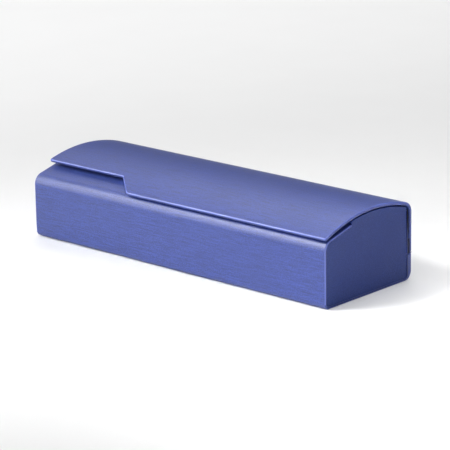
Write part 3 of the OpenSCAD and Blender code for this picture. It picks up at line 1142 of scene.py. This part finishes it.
def make_hinge_tape():
    """Tape that lines the inside of the fold: a leaf on the wall, a web and a leaf on the skirt."""
    low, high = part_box("hinge_lining")
    t = 0.00025
    r = (high.y - low.y) / 2
    spans = 48
    step = 0.0008
    bend_step = math.radians(9)
    outer = Track([
        Line((high.y, high.z), (high.y, low.z + r)),
        Arc((high.y - r, low.z + r), r, 4 * UP, 3 * UP),
        Arc((low.y + r, low.z + r), r, 3 * UP, 2 * UP),
        Line((low.y, low.z + r), (low.y, high.z)),
    ], t)
    points = [outer.at(s)[:2] for s in outer.stations(step, bend_step)]
    profile = [p for p, _ in points] + [p - n * t for p, n in reversed(points)]
    tape = strip_object("hinge_tape", low.x, high.x, spans, profile)
    piece_of(tape, TAPE, "hinge_fabric", None, "hinge_lining")
    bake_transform(tape)


def dress_cad_nodes():
    """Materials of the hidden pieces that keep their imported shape."""
    looks = {
        "steel": (rolled_steel("steel_rolled"), ("body_core", "lid_core")),
        "magnet": (nickel("magnet_nickel"), ("lid_magnet_left", "lid_magnet_right")),
        "board": (greyboard("board_grey"), ("lower_back_board",)),
        "panel": (moulded_panel("panel_moulded"), ("end_panel_left", "end_panel_right")),
    }
    for slot, (material, nodes) in looks.items():
        for node in nodes:
            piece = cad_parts[node]
            piece.data.materials.clear()
            piece.data.materials.append(material)


# ---- set ----

def look_from(azimuth, elevation, roll):
    """Right, up and backward directions of a camera that looks from there."""
    level = math.cos(elevation)
    back = Vector((math.sin(azimuth) * level, -math.cos(azimuth) * level, math.sin(elevation)))
    right = Vector((math.cos(azimuth), math.sin(azimuth), 0))
    up = back.cross(right)
    turned_right = right * math.cos(roll) + up * math.sin(roll)
    turned_up = up * math.cos(roll) - right * math.sin(roll)
    return turned_right, turned_up, back


def stand(name, data, azimuth, elevation, roll, distance, aim):
    """A camera or a lamp that looks at the aim from this direction, in degrees."""
    thing = bpy.data.objects.new(name, data)
    angles = [math.radians(a) for a in (azimuth, elevation, roll)]
    right, up, back = look_from(*angles)
    turn = Matrix((right, up, back)).transposed().to_4x4()
    thing.matrix_world = Matrix.Translation(Vector(aim) + back * distance) @ turn
    bpy.context.scene.collection.objects.link(thing)
    return thing


def make_camera():
    """The camera of the photo's view."""
    data = bpy.data.cameras.new("camera")
    data.lens = 192.9
    data.sensor_width = 36
    data.clip_start = 0.05
    data.clip_end = 50
    bpy.context.scene.camera = stand("camera", data, azimuth=42.70, elevation=16.07, roll=-1.03,
                                     distance=0.9848, aim=(0.00246, 0.00202, 0.01353))


def softbox(name, azimuth, elevation, distance, size, power, aim=(0, 0, 0.015), spread=180):
    """A rectangular soft light round the case, by its direction as a camera's would be given."""
    data = bpy.data.lights.new(name, "AREA")
    data.shape = "RECTANGLE"
    data.size, data.size_y = size
    data.energy = power
    data.spread = math.radians(spread)
    lamp = stand(name, data, azimuth, elevation, 0, distance, aim)
    lamp.visible_camera = False


def make_lights():
    """Soft lights round the case, and three that shine down on the floor behind and beside it."""
    near_end = (0.07, -0.0265, 0.014)
    softbox("key_left", -58, 36, 1.1, (0.8, 0.8), 6.8)
    softbox("lid_left", -115, 42, 1.1, (0.5, 0.5), 0.9)
    softbox("front_left", -44, 8, 1.1, (0.5, 0.5), 5.4)
    softbox("front_high", 45, 68, 1.1, (0.5, 0.5), 0.6)
    softbox("front_right", 50, 6, 1.1, (0.5, 0.5), 3.6)
    softbox("shoulder_spot", -45, 42, 0.6, (0.25, 0.25), 0.24, aim=near_end, spread=40)
    softbox("floor_left", 0, 84, 0.9, (0.8, 0.8), 6.4, aim=(-0.4, 0.75, 0))
    softbox("bounce_right", 0, 89, 0.5, (0.12, 0.12), 0.55, aim=(0.27, 0, 0), spread=45)
    softbox("floor_right", 0, 84, 0.9, (0.6, 0.6), 0.9, aim=(0.6, 0.7, 0))


def make_floor():
    """A white studio floor."""
    bm = bmesh.new()
    bmesh.ops.create_grid(bm, x_segments=8, y_segments=8, size=4)
    mesh = bpy.data.meshes.new("studio_floor")
    bm.to_mesh(mesh)
    bm.free()
    floor = bpy.data.objects.new("studio_floor", mesh)
    bpy.context.scene.collection.objects.link(floor)
    n = Nodes("studio_white")
    paper = n.noise((30, 30, 30), detail=3)
    base = n.mix(paper, (0.90, 0.90, 0.90), (0.92, 0.92, 0.92))
    floor.data.materials.append(n.finish(base, n.scaled(paper, 0.85, 0.95), Specular_IOR_Level=0.1))


def make_world():
    """Dim fill light, and a pale backdrop where the floor ends."""
    world = bpy.data.worlds.new("studio")
    world.use_nodes = True
    tree = world.node_tree
    fill_light = tree.nodes["Background"]
    fill_light.inputs["Color"].default_value = (0.95, 0.97, 1, 1)
    fill_light.inputs["Strength"].default_value = 0.02
    backdrop = tree.nodes.new("ShaderNodeBackground")
    backdrop.inputs["Color"].default_value = (0.95, 0.95, 0.95, 1)
    rays = tree.nodes.new("ShaderNodeLightPath")
    mix = tree.nodes.new("ShaderNodeMixShader")
    tree.links.new(rays.outputs["Is Camera Ray"], mix.inputs[0])
    tree.links.new(fill_light.outputs[0], mix.inputs[1])
    tree.links.new(backdrop.outputs[0], mix.inputs[2])
    tree.links.new(mix.outputs[0], tree.nodes["World Output"].inputs["Surface"])
    bpy.context.scene.world = world
    bpy.context.scene.view_settings.view_transform = "Standard"


make_camera()
make_world()
make_floor()
make_lights()

make_body_wrap()
make_lip_hem()
make_back_wrap()
make_end_wrap(-1, "end_wrap_left", "end_cover_left")
make_end_wrap(1, "end_wrap_right", "end_cover_right")
make_pad()
make_tray_lining()
make_end_lining(-1, "end_lining_cloth_left", "end_lining_left")
make_end_lining(1, "end_lining_cloth_right", "end_lining_right")
make_lid_wrap()
make_lid_lining()
make_hinge_fold()
make_hinge_tape()
dress_cad_nodes()
